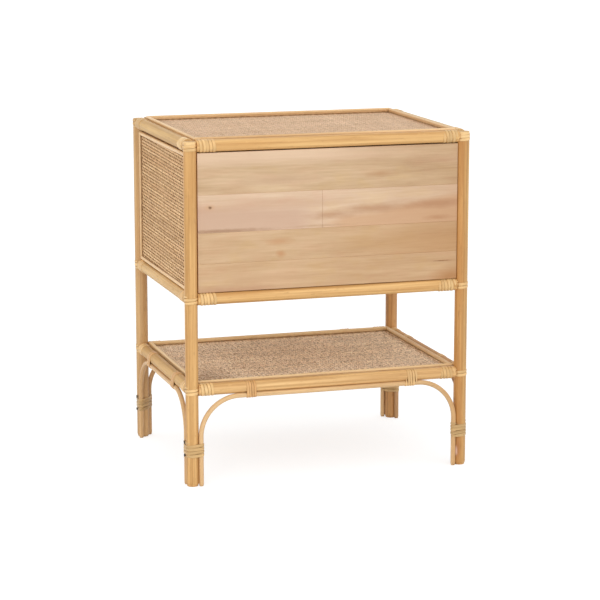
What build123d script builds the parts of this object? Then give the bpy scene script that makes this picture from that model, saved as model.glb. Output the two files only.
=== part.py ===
from build123d import *
import os

os.makedirs("parts", exist_ok=True)

# Rattan nightstand with two drawers over an open shelf.
# Millimetres. Z is up, the floor is Z = 0, the drawers open towards -Y and the plank back faces +Y.
# The origin is the centre of the whole piece's footprint box, knobs included.
# Left and right are as seen by a person standing in front of the drawers.

# ---------------------------------------------------------------- driving dimensions
width = 600.0               # over the peel wraps of the posts, left to right
depth = 450.0               # over the peel wraps of the posts, front to back
height = 700.0              # floor to the crown of the top bead

# poles
post_d = 26.0
rail_d = 24.0
arch_d = 10.0
post_rise = 9.5             # post top above the axis of the top rails
middle_rail_z = 380.0       # axis of the rails under the drawer box
shelf_rail_z = 196.0        # axis of the rails round the shelf
rail_stop = 12.2            # flat end of a rail, measured from the axis of its post
foot_bevel_up = 6.0         # eased lower edge of a post
foot_bevel_in = 2.0
post_top_bevel = 0.8
arch_bend_r = 80.0          # bend of an arch pole, on its axis
arch_end_r = 1.5

# screws that pull the rails to the posts, hidden under the wraps
rail_screw_d = 4.0
rail_screw_head_d = 7.0
rail_screw_head_h = 2.5
rail_screw_sink = 0.6       # head below the outer tangent of the post, clear of the wrap
rail_screw_bite = 24.0      # thread length inside the rail
rail_screw_stagger = 4.5    # above the rail axis left to right, below it front to back

# peel wraps
wrap_t = 1.2
wrap_root_t = 0.5           # thickness in the groove between two turns
wrap_pitch = 6.8            # width of one turn of the peel
groove_half = 0.5           # half the groove between two turns
rail_wrap_turns = 5
post_wrap_turns = 3
wrap_start = 13.6           # first turn on a rail, from the axis of its post
tie_turns = 4
tie_reach = 111.0           # middle of an arch tie, from the axis of its post
rear_right_tie_extra = 10.0
foot_tie_turns = 5
foot_tie_z = 59.0           # lower edge of the tie at the foot
nail_head_d = 6.0
nail_shank_d = 2.0
nail_shank_len = 10.0
nail_in = 6.0               # from the axis of the post, towards the arch pole beside it
nail_head_h = 1.5           # stands on the wrap

# panels
mat_t = 2.0
bead_d = 6.5
bead_rise = 12.25           # axis of the round bead above the axis of its rail
bead_inset = 15.0           # axis of the round bead inside the axis of its rail
bead_foot_w = 4.0           # lath that carries the round bead
mitre_gap = 0.3
panel_board_t = 12.0        # board under the top mat and under the shelf mat
panel_mat_drop = 6.2        # mat surface below the crown of the rails
mat_margin = 0.5
mat_rim_press = 0.4         # mat pressed thinner under its round bead
mat_field_gap = 0.25        # between the round bead and the full thickness of the mat
half_bead_w = 8.0           # half-round bead on the sides and the drawer fronts
half_bead_t = 4.5
side_board_t = 10.0
side_mat_out = 2.0          # mat surface outside the axes of the posts
side_end_gap = 6.0          # open slot between a side panel and its posts
side_top_gap = 2.5          # shadow gap under the top rail
side_bottom_gap = 1.0
floor_t = 6.0
back_t = 12.0
back_out = 6.0              # outer face of the back outside the axes of the rear posts
back_side_gap = 2.0
back_top_gap = 0.5
plank_shares = (83.0, 75.5, 61.5, 57.0)  # of the height of the back, from the top
plank_joint_x = 15.0        # butt joint in the second plank
plank_bevel = 0.6
batten_w = 20.0
batten_end_gap = 1.0
batten_chamfer = 4.0        # corner cut back to clear the post

# drawers
reveal = 2.0                # gap round a drawer front
between_fronts = 3.0
front_t = 12.0
front_mat_out = 3.0         # mat surface outside the axes of the front posts
box_board_t = 12.0
box_side_gap = 3.8          # between the front posts and the drawer box
box_back_gap = 34.6         # between the drawer box and the plank back
box_rise = 16.0             # lower edge of the box above the lower edge of its front
box_headroom = 14.5         # rim of the box below the upper edge of its front
box_back_drop = 6.0         # back board below the rim of the sides
bottom_t = 5.0
groove_rise = 8.0
groove_depth = 6.0
groove_end_clearance = 0.5
runner_w = 20.0
runner_h = 14.0
runner_overrun = 6.0        # runner behind the closed box
runner_clearance = 0.5
knob_d = 32.0
knob_neck_d = 15.0
knob_base_d = 20.0
knob_length = 26.0
knob_base_h = 3.0
knob_neck_h = 9.0
knob_screw_d = 4.0
knob_screw_head_d = 8.0
knob_screw_head_h = 2.6
knob_screw_bite = 14.0

# ---------------------------------------------------------------- derived places
post_r = post_d / 2
rail_r = rail_d / 2
arch_r = arch_d / 2
arch_out = post_r - arch_r              # arch poles stand flush with the outer faces of the posts
post_x = width / 2 - wrap_t - post_r
post_y = depth / 2 - wrap_t - post_r
knob_overhang = post_y + front_mat_out + knob_length - depth / 2
shift_y = knob_overhang / 2             # middle of the post frame, from the origin
front_y = shift_y - post_y
rear_y = shift_y + post_y
top_rail_z = height - bead_d / 2 - bead_rise
post_top = top_rail_z + post_rise
levels = (top_rail_z, middle_rail_z, shelf_rail_z)
seat_r = rail_r + wrap_t                # flat work seats on the wraps of the rails
inner_x = post_x - seat_r
inner_y = post_y - seat_r
opening_bottom = middle_rail_z + seat_r
opening_top = top_rail_z - seat_r

side_signs = {"left": -1, "right": 1}
end_places = {"front": (-1, front_y), "rear": (1, rear_y)}
level_places = {"top": top_rail_z, "middle": middle_rail_z, "shelf": shelf_rail_z}

corners = [
    (sign_x * post_x, y, sign_x, sign_y)
    for sign_x in side_signs.values()
    for sign_y, y in end_places.values()
]


def rail_screw_planes():
    """Planes on the outer tangents of the posts, one for each rail screw, z pointing outwards."""
    planes = []
    for x, y, sign_x, sign_y in corners:
        for level in levels:
            x_face = (x + sign_x * post_r, y, level + rail_screw_stagger)
            y_face = (x, y + sign_y * post_r, level - rail_screw_stagger)
            planes.append(Plane(origin=x_face, x_dir=(0, 0, 1), z_dir=(sign_x, 0, 0)))
            planes.append(Plane(origin=y_face, x_dir=(0, 0, 1), z_dir=(0, sign_y, 0)))
    return planes


def nail_planes():
    """Planes on the outer faces of the foot ties, in line with the posts, for their nails."""
    first_turn = foot_tie_z + wrap_pitch / 2
    last_turn = foot_tie_z + (foot_tie_turns - 0.5) * wrap_pitch
    return [
        Plane(origin=(x + sign_x * post_r, y - sign_y * nail_in, z), x_dir=(0, 1, 0),
              z_dir=(sign_x, 0, 0))
        for x, y, sign_x, sign_y in corners
        for z in (first_turn, last_turn)
    ]


def planes_on_post(planes, x, y):
    """Those of the planes that lie on the post at x, y."""
    return [p for p in planes if (p.origin - Vector(x, y, p.origin.Z)).length < post_d]


# ---------------------------------------------------------------- posts
def make_post(x, y):
    """A pole from the floor to the top, with holes for its six rail screws and two nails."""
    with BuildPart() as post:
        with BuildSketch(Plane.XY):
            with Locations((x, y)):
                Circle(post_r)
        extrude(amount=post_top)
        foot_edge = post.edges().sort_by(Axis.Z)[0]
        chamfer(foot_edge, length=foot_bevel_up, length2=foot_bevel_in,
                reference=post.faces().filter_by(GeomType.CYLINDER)[0])
        chamfer(post.edges().sort_by(Axis.Z)[-1], length=post_top_bevel)
        with Locations(*planes_on_post(nail_planes(), x, y)):
            Hole(nail_shank_d / 2, depth=nail_shank_len)
        with Locations(*planes_on_post(rail_screw_planes(), x, y)):
            CounterBoreHole(
                radius=rail_screw_d / 2,
                counter_bore_radius=rail_screw_head_d / 2,
                counter_bore_depth=rail_screw_sink + rail_screw_head_h,
                depth=post_d,
            )
    return post


for side, sign_x in side_signs.items():
    for end, (sign_y, y) in end_places.items():
        post = make_post(sign_x * post_x, y)
        post.part.label = f"post_{end}_{side}"
        export_step(post.part, f"parts/post_{end}_{side}.step")


# ---------------------------------------------------------------- rails
def make_rail(middle, direction, half_span, screw_lift):
    """A pole between two posts, its ends hollowed to sit on them and drilled for the screws."""
    with BuildPart() as rail:
        with BuildSketch(Plane(origin=middle, z_dir=direction)):
            Circle(rail_r)
        extrude(amount=half_span - rail_stop, both=True)
        with Locations(*[(x, y, middle[2]) for x, y, _, _ in corners]):
            Cylinder(post_r, rail_d, mode=Mode.SUBTRACT)
        for sign in (-1, 1):
            outward = Vector(*direction) * sign
            end_point = Vector(*middle) + outward * half_span + Vector(0, 0, screw_lift)
            with Locations(Plane(origin=end_point, z_dir=outward)):
                Hole(rail_screw_d / 2, depth=rail_stop + rail_screw_bite)
    return rail


for level_name, z in level_places.items():
    for end, (_, y) in end_places.items():
        rail = make_rail((0, y, z), (1, 0, 0), post_x, rail_screw_stagger)
        rail.part.label = f"{level_name}_rail_{end}"
        export_step(rail.part, f"parts/{level_name}_rail_{end}.step")
    for side, sign_x in side_signs.items():
        rail = make_rail((sign_x * post_x, shift_y, z), (0, 1, 0), post_y, -rail_screw_stagger)
        rail.part.label = f"{level_name}_rail_{side}"
        export_step(rail.part, f"parts/{level_name}_rail_{side}.step")

# ---------------------------------------------------------------- rail screws
under_head = rail_screw_sink + rail_screw_head_h
with BuildPart() as rail_screws:
    with Locations(*[plane.offset(-under_head) for plane in rail_screw_planes()]):
        Cylinder(rail_screw_head_d / 2, rail_screw_head_h,
                 align=(Align.CENTER, Align.CENTER, Align.MIN))
        Cylinder(rail_screw_d / 2, post_r - under_head + rail_stop + rail_screw_bite,
                 align=(Align.CENTER, Align.CENTER, Align.MAX))
rail_screws.part.label = "rail_screws"
export_step(rail_screws.part, "parts/rail_screws.step")

# ---------------------------------------------------------------- arches under the shelf
arch_offset = ((post_r + arch_r) ** 2 - arch_out**2) ** 0.5     # arch pole beside its post
arch_drop = ((rail_r + arch_r) ** 2 - arch_out**2) ** 0.5       # arch pole under its rail
arch_top = shelf_rail_z - arch_drop


def make_arch(middle, along, half_span):
    """One slim pole bent into an upside-down U between two posts and under the shelf rail."""
    foot = half_span - arch_offset
    arch_plane = Plane(origin=middle, x_dir=along, z_dir=Vector(*along).cross(Vector(0, 0, 1)))
    with BuildPart() as arch:
        with BuildLine(arch_plane) as bend:
            FilletPolyline((-foot, 0), (-foot, arch_top), (foot, arch_top), (foot, 0),
                           radius=arch_bend_r)
        with BuildSketch(Plane(origin=bend.line @ 0, z_dir=bend.line % 0)):
            Circle(arch_r)
        sweep(path=bend.line)
        fillet(arch.edges().group_by(Axis.Z)[0], arch_end_r)
    return arch


for end, (sign_y, y) in end_places.items():
    arch = make_arch((0, y + sign_y * arch_out, 0), (1, 0, 0), post_x)
    arch.part.label = f"arch_{end}"
    export_step(arch.part, f"parts/arch_{end}.step")
for side, sign_x in side_signs.items():
    arch = make_arch((sign_x * (post_x + arch_out), shift_y, 0), (0, 1, 0), post_y)
    arch.part.label = f"arch_{side}"
    export_step(arch.part, f"parts/arch_{side}.step")


# ---------------------------------------------------------------- peel wraps at the joints
def wrap_section(inner_r, turns):
    """Half section of a wound strip: x runs along the pole, y is the distance from its axis."""
    with BuildLine() as outline:
        crest = inner_r + wrap_t
        root = inner_r + wrap_root_t
        points = [(0, inner_r), (0, root)]
        for turn in range(turns):
            start = turn * wrap_pitch
            end = start + wrap_pitch
            points += [(start + groove_half, root), (start + groove_half, crest)]
            points += [(end - groove_half, crest), (end - groove_half, root)]
        points += [(turns * wrap_pitch, root), (turns * wrap_pitch, inner_r)]
        Polyline(*points, close=True)
    make_face(outline.edges())


def post_wrap_bottom(z):
    """The top wrap ends at the post's top; the others sit astride their rail."""
    if z == top_rail_z:
        return post_top - post_wrap_turns * wrap_pitch
    return z - post_wrap_turns * wrap_pitch / 2


with BuildPart() as corner_bindings:
    for z in levels:
        for x, y, sign_x, sign_y in corners:
            pole_plane = Plane(origin=(x, y, post_wrap_bottom(z)), x_dir=(0, 0, 1), z_dir=(0, -1, 0))
            with BuildSketch(pole_plane):
                wrap_section(post_r, post_wrap_turns)
            revolve(axis=Axis((x, y, 0), (0, 0, 1)))
        wrap_low = min(post_wrap_bottom(z), z - rail_r) - wrap_t
        wrap_high = max(post_top, z + rail_r) + wrap_t if z == top_rail_z else z + rail_r + wrap_t
        with BuildSketch(Plane.XY.offset(wrap_low)):
            for _, y in end_places.values():
                with Locations((0, y)):
                    Rectangle(2 * post_x, rail_d)
            for sign_x in side_signs.values():
                with Locations((sign_x * post_x, shift_y)):
                    Rectangle(rail_d, 2 * post_y)
        extrude(amount=wrap_high - wrap_low, mode=Mode.SUBTRACT)
    for z in levels:
        for x, y, sign_x, sign_y in corners:
            x_start = (x - sign_x * wrap_start, y, z)
            y_start = (x, y - sign_y * wrap_start, z)
            with BuildSketch(Plane(origin=x_start, x_dir=(-sign_x, 0, 0), z_dir=(0, sign_x, 0))):
                wrap_section(rail_r, rail_wrap_turns)
            revolve(axis=Axis(x_start, (1, 0, 0)))
            with BuildSketch(Plane(origin=y_start, x_dir=(0, -sign_y, 0), z_dir=(-sign_y, 0, 0))):
                wrap_section(rail_r, rail_wrap_turns)
            revolve(axis=Axis(y_start, (0, 1, 0)))
corner_bindings.part.label = "corner_bindings"
export_step(corner_bindings.part, "parts/corner_bindings.step")


# ---------------------------------------------------------------- ties round the arch poles
def tie_ring(circles, thickness):
    """A strip pulled tight round several poles; circles holds each pole's place and radius."""
    with BuildSketch(mode=Mode.PRIVATE) as core:
        for place, radius in circles:
            with Locations(place):
                Circle(radius)
        make_hull()
    add(offset(core.sketch, amount=thickness, mode=Mode.PRIVATE))
    add(core.sketch, mode=Mode.SUBTRACT)


def wind_tie(plane, circles, turns):
    """Turns of the strip along the plane's normal, joined by the thinner groove between them."""
    with BuildSketch(plane) as sleeve:
        tie_ring(circles, wrap_root_t)
    extrude(sleeve.sketch, amount=turns * wrap_pitch)
    for turn in range(turns):
        with BuildSketch(plane.offset(turn * wrap_pitch + groove_half)) as band:
            tie_ring(circles, wrap_t)
        extrude(band.sketch, amount=wrap_pitch - 2 * groove_half)


with BuildPart() as arch_bindings:
    for x, y, sign_x, sign_y in corners:
        extra = rear_right_tie_extra if (sign_x, sign_y) == (1, 1) else 0
        half_tie = tie_turns * wrap_pitch / 2
        x_tie = (x - sign_x * (tie_reach + extra) - half_tie, y, shelf_rail_z)
        y_tie = (x, y - sign_y * tie_reach - half_tie, shelf_rail_z)
        x_pair = (((0, 0), rail_r), ((sign_y * arch_out, -arch_drop), arch_r))
        y_pair = (((0, 0), rail_r), ((-sign_x * arch_out, -arch_drop), arch_r))
        wind_tie(Plane(origin=x_tie, x_dir=(0, 1, 0), z_dir=(1, 0, 0)), x_pair, tie_turns)
        wind_tie(Plane(origin=y_tie, x_dir=(-1, 0, 0), z_dir=(0, 1, 0)), y_pair, tie_turns)
arch_bindings.part.label = "arch_bindings"
export_step(arch_bindings.part, "parts/arch_bindings.step")

with BuildPart() as foot_bindings:
    for x, y, sign_x, sign_y in corners:
        poles = (
            ((0, 0), post_r),
            ((-sign_x * arch_offset, sign_y * arch_out), arch_r),
            ((sign_x * arch_out, -sign_y * arch_offset), arch_r),
        )
        wind_tie(Plane(origin=(x, y, foot_tie_z)), poles, foot_tie_turns)
    with Locations(*[plane.offset(wrap_t) for plane in nail_planes()]):
        Hole(nail_shank_d / 2, depth=2 * wrap_t)
foot_bindings.part.label = "foot_bindings"
export_step(foot_bindings.part, "parts/foot_bindings.step")

# ---------------------------------------------------------------- nails at the feet
with BuildPart() as foot_nails:
    with Locations(*[plane.offset(wrap_t) for plane in nail_planes()]):
        Cylinder(nail_shank_d / 2, nail_shank_len + wrap_t,
                 align=(Align.CENTER, Align.CENTER, Align.MAX))
        Cylinder(nail_head_d / 2, nail_head_h, align=(Align.CENTER, Align.CENTER, Align.MIN))
foot_nails.part.label = "foot_nails"
export_step(foot_nails.part, "parts/foot_nails.step")


# ---------------------------------------------------------------- helpers for flat work
def make_panel(low, high):
    """A flat board or mat between two corners."""
    size = [b - a for a, b in zip(low, high)]
    with BuildPart() as panel:
        with BuildSketch(Plane.XY.offset(low[2])):
            with Locations(((low[0] + high[0]) / 2, (low[1] + high[1]) / 2)):
                Rectangle(size[0], size[1])
        extrude(amount=size[2])
    return panel


def make_bead_frame(plane, half_u, half_v, profile):
    """Four mitred strips round a rectangle; profile draws the section, x outwards and y along
    the plane's normal, with its origin on the line through half_u and half_v."""
    with BuildPart() as frame:
        with BuildLine(plane) as route:
            Polyline((-half_u, 0), (-half_u, half_v), (half_u, half_v), (half_u, -half_v),
                     (-half_u, -half_v), (-half_u, 0))
        section_plane = Plane(origin=route.line @ 0, x_dir=-plane.x_dir, z_dir=route.line % 0)
        with BuildSketch(section_plane) as section:
            profile()
        sweep(section.sketch, path=route.line, transition=Transition.RIGHT)
        with BuildSketch(plane) as slits:
            for u in (-half_u, half_u):
                for v in (-half_v, half_v):
                    with Locations((u, v)):
                        Rectangle(4 * half_bead_w, mitre_gap, rotation=45 if u * v > 0 else -45)
        extrude(slits.sketch, amount=2 * bead_d, both=True, mode=Mode.SUBTRACT)
    return frame


# ---------------------------------------------------------------- top and shelf panels
def make_inset_panel(rail_z):
    """Board and mat between four rails, and the round bead that covers the mat's edge."""
    mat_z = rail_z + rail_r - panel_mat_drop
    board_top = mat_z - mat_t
    board = make_panel(
        (-inner_x, shift_y - inner_y, board_top - panel_board_t),
        (inner_x, shift_y + inner_y, board_top),
    )
    mat_x = inner_x - mat_margin
    mat_y = inner_y - mat_margin
    rim_z = mat_z - mat_rim_press
    mat = make_panel((-mat_x, shift_y - mat_y, board_top), (mat_x, shift_y + mat_y, rim_z))
    field_inset = bead_inset + bead_d / 2 + mat_field_gap
    with mat:
        with BuildSketch(Plane.XY.offset(rim_z)) as field:
            with Locations((0, shift_y)):
                Rectangle(2 * (post_x - field_inset), 2 * (post_y - field_inset))
        extrude(field.sketch, amount=mat_rim_press)
    foot_drop = rail_z + bead_rise - rim_z

    def round_bead():
        Circle(bead_d / 2)
        with Locations((0, -foot_drop / 2)):
            Rectangle(bead_foot_w, foot_drop)

    bead_plane = Plane(origin=(0, shift_y, rail_z + bead_rise))
    beading = make_bead_frame(bead_plane, post_x - bead_inset, post_y - bead_inset, round_bead)
    return board, mat, beading


for level_name, z in (("top", top_rail_z), ("shelf", shelf_rail_z)):
    board, mat, beading = make_inset_panel(z)
    board.part.label = f"{level_name}_board"
    export_step(board.part, f"parts/{level_name}_board.step")
    mat.part.label = f"{level_name}_mat"
    export_step(mat.part, f"parts/{level_name}_mat.step")
    beading.part.label = f"{level_name}_beading"
    export_step(beading.part, f"parts/{level_name}_beading.step")


# ---------------------------------------------------------------- side panels
def half_round_bead():
    """A strip with a flat back and a rounded face, laid inside the line of its route."""
    with BuildLine() as outline:
        ThreePointArc((-half_bead_w, 0), (-half_bead_w / 2, half_bead_t), (0, 0))
        Line((0, 0), (-half_bead_w, 0))
    make_face(outline.edges())


panel_half_y = post_y - post_r - side_end_gap
side_mat_low = opening_bottom + side_bottom_gap
side_mat_high = opening_top - side_top_gap

for side, sign_x in side_signs.items():
    board_faces = sorted((sign_x * (post_x - side_board_t), sign_x * post_x))
    side_board = make_panel(
        (board_faces[0], shift_y - panel_half_y, opening_bottom),
        (board_faces[1], shift_y + panel_half_y, opening_top),
    )
    side_board.part.label = f"side_board_{side}"
    export_step(side_board.part, f"parts/side_board_{side}.step")

    mat_faces = sorted((sign_x * post_x, sign_x * (post_x + side_mat_out)))
    side_mat = make_panel(
        (mat_faces[0], shift_y - panel_half_y, side_mat_low),
        (mat_faces[1], shift_y + panel_half_y, side_mat_high),
    )
    side_mat.part.label = f"side_mat_{side}"
    export_step(side_mat.part, f"parts/side_mat_{side}.step")

    bead_origin = (sign_x * (post_x + side_mat_out), shift_y, (side_mat_low + side_mat_high) / 2)
    bead_plane = Plane(origin=bead_origin, x_dir=(0, sign_x, 0), z_dir=(sign_x, 0, 0))
    half_height = (side_mat_high - side_mat_low) / 2
    side_beading = make_bead_frame(bead_plane, panel_half_y, half_height, half_round_bead)
    side_beading.part.label = f"side_beading_{side}"
    export_step(side_beading.part, f"parts/side_beading_{side}.step")

# ---------------------------------------------------------------- plank back and its battens
back_outer_y = rear_y + back_out
back_inner_y = back_outer_y - back_t
back_half_x = post_x - (post_r**2 - back_out**2) ** 0.5 - back_side_gap
back_top = opening_top - back_top_gap
plank_unit = (back_top - opening_bottom) / sum(plank_shares)
plank_ends = [back_top - plank_unit * sum(plank_shares[:i]) for i in range(len(plank_shares) + 1)]

for i, (top_z, low_z) in enumerate(zip(plank_ends, plank_ends[1:]), start=1):
    with BuildPart() as plank:
        with BuildSketch(Plane.XZ.offset(-back_outer_y)):
            with Locations((0, (low_z + top_z) / 2)):
                Rectangle(2 * back_half_x, top_z - low_z)
        extrude(amount=back_t)
        face = plank.faces().sort_by(Axis.Y)[-1]
        long_edges = face.edges().filter_by(Axis.X)
        chamfer(long_edges, length=plank_bevel)
        if i == 2:
            with BuildSketch(Plane.XY.offset(low_z)):
                with Locations((plank_joint_x, (back_outer_y + back_inner_y) / 2)):
                    Rectangle(mitre_gap, back_t)
            extrude(amount=top_z - low_z, mode=Mode.SUBTRACT)
    plank.part.label = f"back_plank_{i}"
    export_step(plank.part, f"parts/back_plank_{i}.step")

with BuildPart() as corner_battens:
    batten_low = opening_bottom + batten_end_gap
    with BuildSketch(Plane.XY.offset(batten_low)):
        batten_x = post_x - side_board_t - batten_w / 2
        with Locations((-batten_x, back_inner_y - batten_w / 2),
                       (batten_x, back_inner_y - batten_w / 2)):
            Rectangle(batten_w, batten_w)
    extrude(amount=opening_top - batten_end_gap - batten_low)
    upright_edges = corner_battens.edges().filter_by(Axis.Z)
    post_side = upright_edges.sort_by(lambda edge: abs(edge.center().X) + edge.center().Y)[-2:]
    chamfer(post_side, length=batten_chamfer)
corner_battens.part.label = "corner_battens"
export_step(corner_battens.part, "parts/corner_battens.step")

# ---------------------------------------------------------------- floor of the drawer box
cabinet_floor = make_panel(
    (-inner_x, shift_y - inner_y, middle_rail_z),
    (inner_x, shift_y + inner_y, middle_rail_z + floor_t),
)
cabinet_floor.part.label = "cabinet_floor"
export_step(cabinet_floor.part, "parts/cabinet_floor.step")

# ---------------------------------------------------------------- drawers
front_height = (opening_top - opening_bottom - 2 * reveal - between_fronts) / 2
front_half_x = post_x - post_r - reveal
front_face_y = front_y - front_mat_out          # surface of the woven front
front_board_y = front_face_y + mat_t
box_front_y = front_board_y + front_t
box_length = back_inner_y - box_back_gap - box_front_y
box_height = front_height - box_rise - box_headroom
box_half_x = post_x - post_r - box_side_gap
front_lows = {
    "lower": opening_bottom + reveal,
    "upper": opening_bottom + reveal + front_height + between_fronts,
}

runner_length = box_length + runner_overrun
with BuildPart() as drawer_runners:
    for front_low in front_lows.values():
        runner_top = front_low + box_rise - runner_clearance
        with BuildSketch(Plane.XY.offset(runner_top - runner_h)) as runner_plan:
            runner_x = post_x - side_board_t - runner_w / 2
            with Locations((-runner_x, box_front_y + runner_length / 2),
                           (runner_x, box_front_y + runner_length / 2)):
                Rectangle(runner_w, runner_length)
        extrude(amount=runner_h)
drawer_runners.part.label = "drawer_runners"
export_step(drawer_runners.part, "parts/drawer_runners.step")


def make_front(front_low):
    """Front board, woven mat and half-round beading, drilled for the knob's screw."""
    middle_z = front_low + front_height / 2
    board = make_panel(
        (-front_half_x, front_board_y, front_low),
        (front_half_x, box_front_y, front_low + front_height),
    )
    mat = make_panel(
        (-front_half_x, front_face_y, front_low),
        (front_half_x, front_board_y, front_low + front_height),
    )
    knob_plane = Plane(origin=(0, front_face_y, middle_z), x_dir=(1, 0, 0), z_dir=(0, -1, 0))
    for piece in (board, mat):
        with piece:
            with Locations(knob_plane):
                Hole(knob_screw_d / 2, depth=mat_t + front_t)
    beading = make_bead_frame(knob_plane, front_half_x, front_height / 2, half_round_bead)
    return board, mat, beading, knob_plane


def make_box_side_pair(box_low):
    """The two side boards of a drawer, grooved for the bottom."""
    with BuildPart() as sides:
        for sign in (-1, 1):
            with BuildSketch(Plane.XY.offset(box_low)):
                with Locations((sign * (box_half_x - box_board_t / 2), box_front_y + box_length / 2)):
                    Rectangle(box_board_t, box_length)
            extrude(amount=box_height)
            groove_x = sign * (box_half_x - box_board_t + groove_depth / 2)
            with BuildSketch(Plane.XY.offset(box_low + groove_rise)):
                with Locations((groove_x, box_front_y + box_length / 2)):
                    Rectangle(groove_depth, box_length)
            extrude(amount=bottom_t, mode=Mode.SUBTRACT)
    return sides


def make_knob(knob_plane):
    """A turned knob: foot disc, slim neck and domed head, with a blind hole for its screw."""
    with BuildPart() as knob:
        turning_plane = Plane(origin=knob_plane.origin, x_dir=(1, 0, 0), z_dir=(0, 0, 1))
        with BuildSketch(turning_plane) as half_section:
            with BuildLine():
                neck_end = -(knob_base_h + knob_neck_h)
                rim = (knob_d / 2, (neck_end - knob_length) / 2)
                Line((0, 0), (knob_base_d / 2, 0))
                Line((knob_base_d / 2, 0), (knob_base_d / 2, -knob_base_h))
                Spline((knob_base_d / 2, -knob_base_h), (knob_neck_d / 2, -knob_base_h * 2),
                       (knob_neck_d / 2 + 1, neck_end), rim)
                Spline(rim, (knob_d / 3, -knob_length + 1), (0, -knob_length),
                       tangents=[(0, -1), (-1, 0)])
                Line((0, -knob_length), (0, 0))
            make_face()
        revolve(axis=Axis(knob_plane.origin, (0, 1, 0)))
        with Locations(knob_plane):
            Cylinder(knob_screw_d / 2, knob_screw_bite,
                     align=(Align.CENTER, Align.CENTER, Align.MIN), mode=Mode.SUBTRACT)
    return knob


for drawer, front_low in front_lows.items():
    board, mat, beading, knob_plane = make_front(front_low)
    board.part.label = f"{drawer}_front_board"
    export_step(board.part, f"parts/{drawer}_front_board.step")
    mat.part.label = f"{drawer}_front_mat"
    export_step(mat.part, f"parts/{drawer}_front_mat.step")
    beading.part.label = f"{drawer}_front_beading"
    export_step(beading.part, f"parts/{drawer}_front_beading.step")

    box_low = front_low + box_rise
    bottom_low = box_low + groove_rise
    box_sides = make_box_side_pair(box_low)
    box_sides.part.label = f"{drawer}_box_sides"
    export_step(box_sides.part, f"parts/{drawer}_box_sides.step")

    inside_half_x = box_half_x - box_board_t
    bottom_half_x = inside_half_x + groove_depth - groove_end_clearance
    box_bottom = make_panel(
        (-bottom_half_x, box_front_y, bottom_low),
        (bottom_half_x, box_front_y + box_length, bottom_low + bottom_t),
    )
    box_bottom.part.label = f"{drawer}_box_bottom"
    export_step(box_bottom.part, f"parts/{drawer}_box_bottom.step")

    box_back = make_panel(
        (-inside_half_x, box_front_y + box_length - box_board_t, bottom_low + bottom_t),
        (inside_half_x, box_front_y + box_length, box_low + box_height - box_back_drop),
    )
    box_back.part.label = f"{drawer}_box_back"
    export_step(box_back.part, f"parts/{drawer}_box_back.step")

    knob = make_knob(knob_plane)
    knob.part.label = f"{drawer}_knob"
    export_step(knob.part, f"parts/{drawer}_knob.step")

    with BuildPart() as knob_screw:
        with Locations(knob_plane.offset(-mat_t - front_t)):
            Cylinder(knob_screw_head_d / 2, knob_screw_head_h,
                     align=(Align.CENTER, Align.CENTER, Align.MAX))
            Cylinder(knob_screw_d / 2, mat_t + front_t + knob_screw_bite,
                     align=(Align.CENTER, Align.CENTER, Align.MIN))
    knob_screw.part.label = f"{drawer}_knob_screw"
    export_step(knob_screw.part, f"parts/{drawer}_knob_screw.step")
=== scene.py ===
import math
import random

import bpy
import numpy as np
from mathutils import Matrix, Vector


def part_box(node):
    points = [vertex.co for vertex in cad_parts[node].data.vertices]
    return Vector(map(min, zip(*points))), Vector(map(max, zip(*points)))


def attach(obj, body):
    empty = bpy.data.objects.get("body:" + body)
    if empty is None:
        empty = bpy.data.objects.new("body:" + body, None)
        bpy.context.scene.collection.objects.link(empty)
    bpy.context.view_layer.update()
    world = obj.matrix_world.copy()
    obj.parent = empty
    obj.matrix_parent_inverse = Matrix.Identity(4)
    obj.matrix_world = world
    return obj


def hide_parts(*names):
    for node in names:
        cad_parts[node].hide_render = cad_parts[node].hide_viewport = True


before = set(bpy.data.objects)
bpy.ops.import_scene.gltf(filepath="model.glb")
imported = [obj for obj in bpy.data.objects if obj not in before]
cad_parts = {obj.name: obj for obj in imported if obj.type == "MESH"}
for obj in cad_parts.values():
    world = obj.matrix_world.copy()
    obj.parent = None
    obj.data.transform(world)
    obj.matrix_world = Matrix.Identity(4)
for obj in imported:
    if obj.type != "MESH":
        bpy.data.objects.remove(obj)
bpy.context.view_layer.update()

# ---------------------------------------------------------------- sizes, in metres
wrap_thickness = 0.0012
peel_width = 0.0068             # width of one turn of the peel
rail_wrap_turns = {"top": 6, "middle": 6, "shelf": 5}
fewer_turns = {(-1, "rear", "top"): 5}      # of one rail along X
post_wrap_turns = 3
wrap_start = 0.0136             # first turn on a rail, from the axis of its post
arch_tie_width = 0.0272         # along the rail
arch_tie_turns = 5
tie_reach = 0.111               # middle of an arch tie, from the axis of its post
rear_right_extra = 0.010        # one tie sits further out
foot_tie_turns = 5
steps_per_turn = 36             # sections in one turn of a wound strip
steps_past_last = steps_per_turn // 8       # how far a strip runs on past its last turn
tuck_length = 0.16              # of a turn, over which a strip's end narrows
tucked_share = 0.35             # of its width and thickness left at the tip
strip_sink = 0.00025            # how far a strip's rims lie inside the pole
crossing_haste = 0.14           # how suddenly a strip moves on to its next turn
# how far the turns of a wrap or a tie stray along their pole
post_slack, rail_slack, arch_tie_slack, foot_tie_slack = 0.0005, 0.0011, 0.0007, 0.0009

strand_pitch = 0.0066           # between neighbouring strands of a mat
weft_half_width = 0.00245
weft_half_thickness = 0.00055
weft_rise = 0.0003              # how far a weft strand swings out of the mat's middle
warp_half_width = 0.0019
warp_half_thickness = 0.00042
warp_rise = 0.00055
steps_per_crossing = 3
strand_sways = ((7, 0.00035), (42, 0.00045))    # waves a metre, and how far they push a strand
side_mat_skew = -0.020          # the side mats' rows run a little out of true

arch_bend_r = 0.080             # of an arch pole's axis

sides = {"left": -1, "right": 1}
ends = {"front": -1, "rear": 1}
level_names = ("top", "middle", "shelf")


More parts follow.
